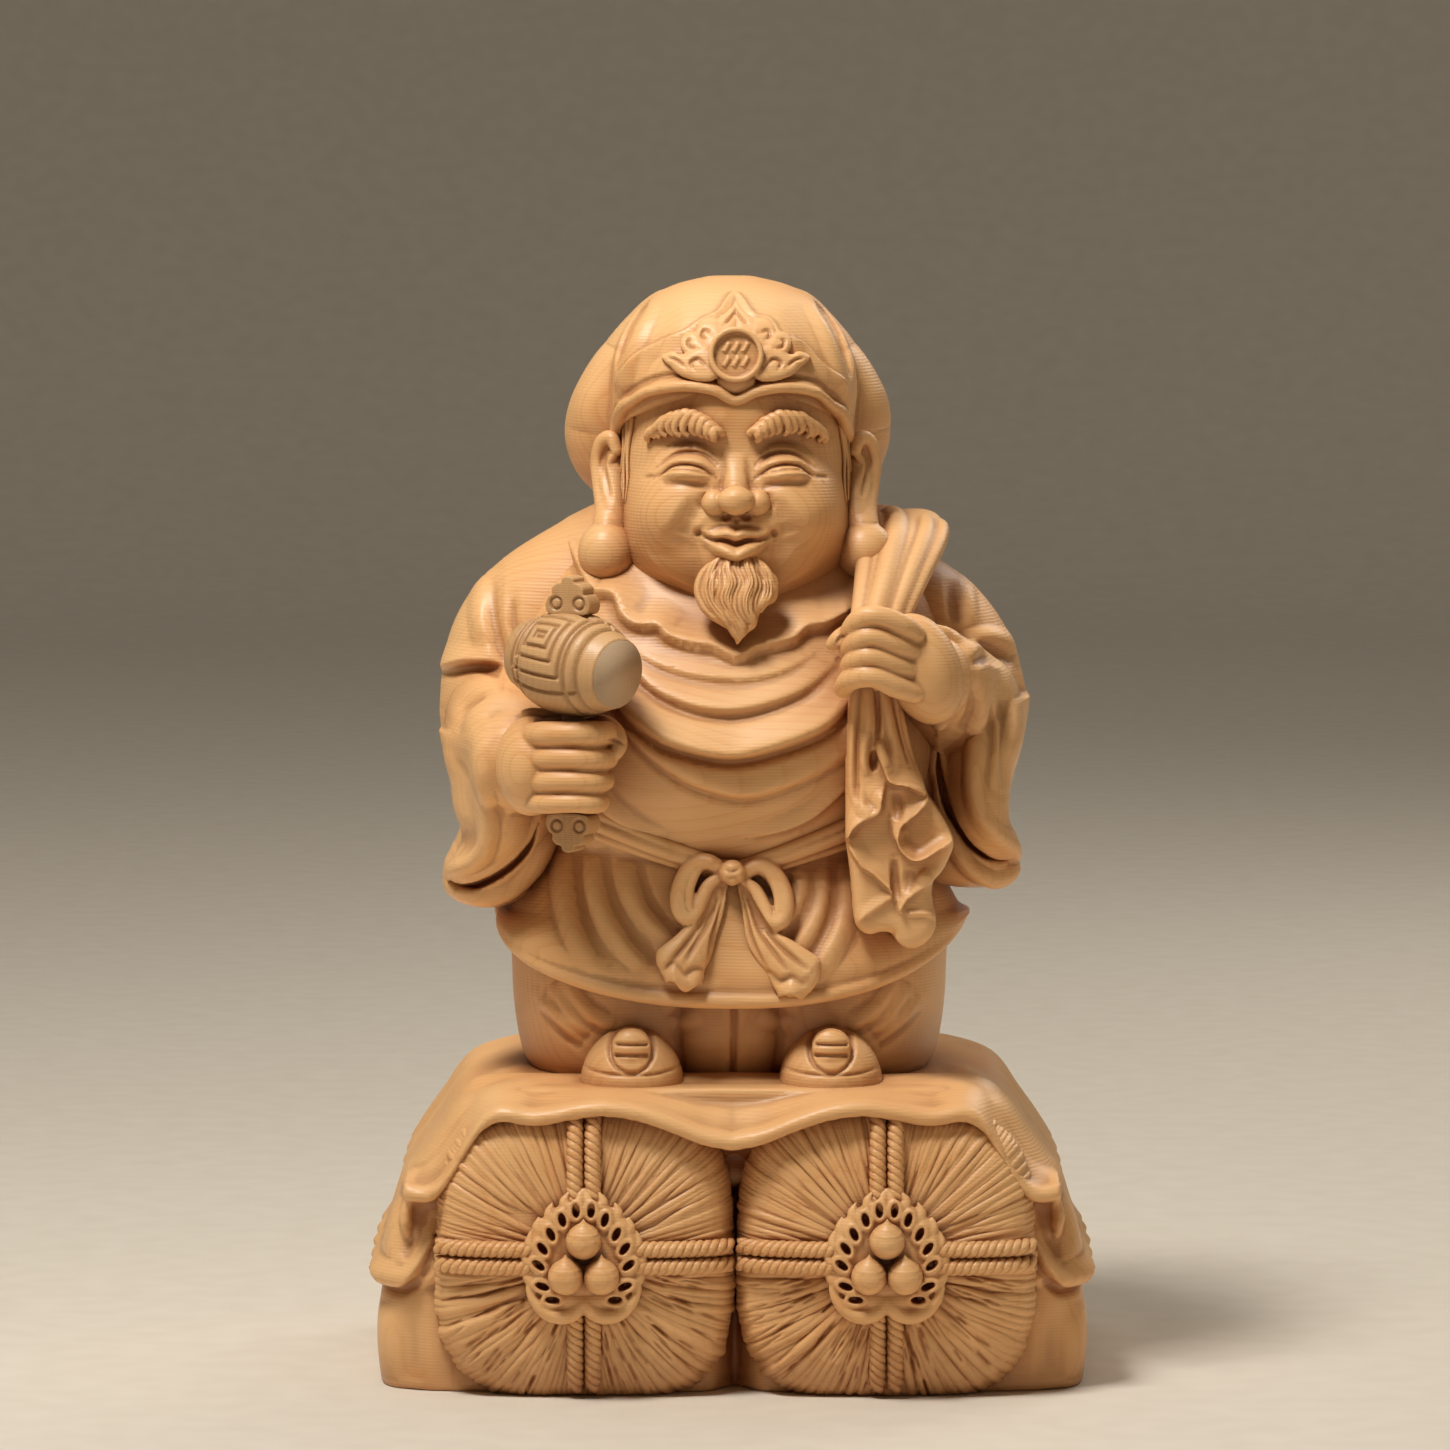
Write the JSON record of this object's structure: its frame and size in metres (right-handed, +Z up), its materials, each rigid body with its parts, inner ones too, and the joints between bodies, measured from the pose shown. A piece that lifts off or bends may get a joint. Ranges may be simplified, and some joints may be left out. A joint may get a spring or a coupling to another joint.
{
  "type": "daikoku figure",
  "caption": "Carved wooden standing figure of a smiling god of fortune, with a mallet and a sack over the shoulder, on a base of straw rice bales under a draped cloth.",
  "frame": {"origin": "middle of the flat underside of the bale base", "axes": "+Z up, +X to the viewer's right, -Y the way the figure faces"},
  "size_m": [0.0957, 0.0779, 0.1467],
  "materials": {
    "boxwood": "satin",
    "mallet_wood": "satin"
  },
  "bodies": {
    "root": {"daikoku_carving": "boxwood", "mallet": "mallet_wood", "mallet_tail_finial": "mallet_wood"}
  },
  "joints": []
}
